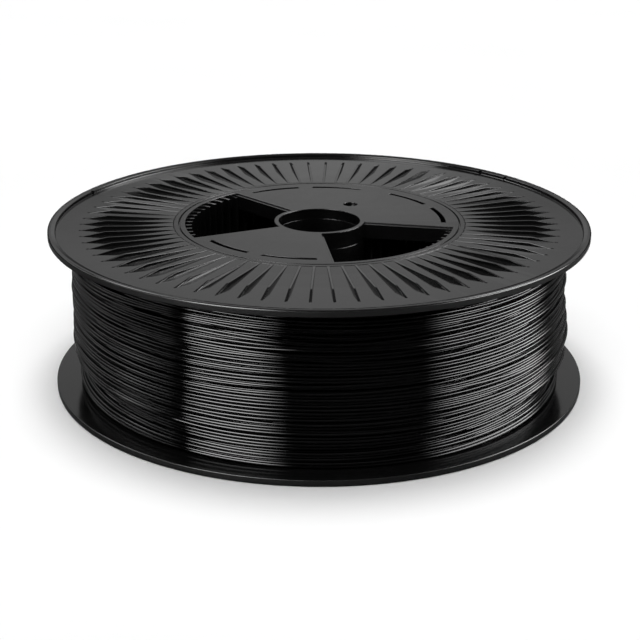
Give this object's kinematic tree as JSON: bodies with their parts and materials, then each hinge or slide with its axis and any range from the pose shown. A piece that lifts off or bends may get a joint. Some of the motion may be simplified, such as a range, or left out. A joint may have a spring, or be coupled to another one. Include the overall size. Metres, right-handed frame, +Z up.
{
  "type": "filament spool",
  "caption": "Large flanged spool with finned discs, an open-sector core, a through spindle bore and filament wound between the flanges.",
  "frame": {"origin": "centre of the spool's underside, on the spindle axis in the plane of the lower rim", "axes": "+Z up along the spindle axis from the lower rim to the upper rim; +X to the right and +Y to the back, with the drive holes at 61 degrees from +X towards +Y"},
  "size_m": [0.35, 0.35, 0.106],
  "materials": {
    "flange_plastic": "black moulded polystyrene, satin",
    "core_plastic": "black moulded polystyrene, satin with a fine grain",
    "filament": "black extruded filament, high gloss"
  },
  "bodies": {
    "root": {"upper_flange_disc": "flange_plastic", "upper_fins": "flange_plastic", "upper_core_ring": "core_plastic", "upper_back_plate": "core_plastic", "upper_front_plate": "core_plastic", "upper_web_walls": "core_plastic", "upper_hub_collar": "core_plastic", "upper_snap_tabs": "core_plastic", "lower_flange_disc": "flange_plastic", "lower_fins": "flange_plastic", "lower_core_ring": "core_plastic", "lower_back_plate": "core_plastic", "lower_front_plate": "core_plastic", "lower_web_walls": "core_plastic", "lower_hub_collar": "core_plastic", "lower_snap_tabs": "core_plastic", "core_barrel": "core_plastic", "barrel_ribs": "core_plastic", "hub_tube": "core_plastic", "filament_inner_layers": "filament", "filament_outer_layer": "filament"}
  },
  "joints": []
}
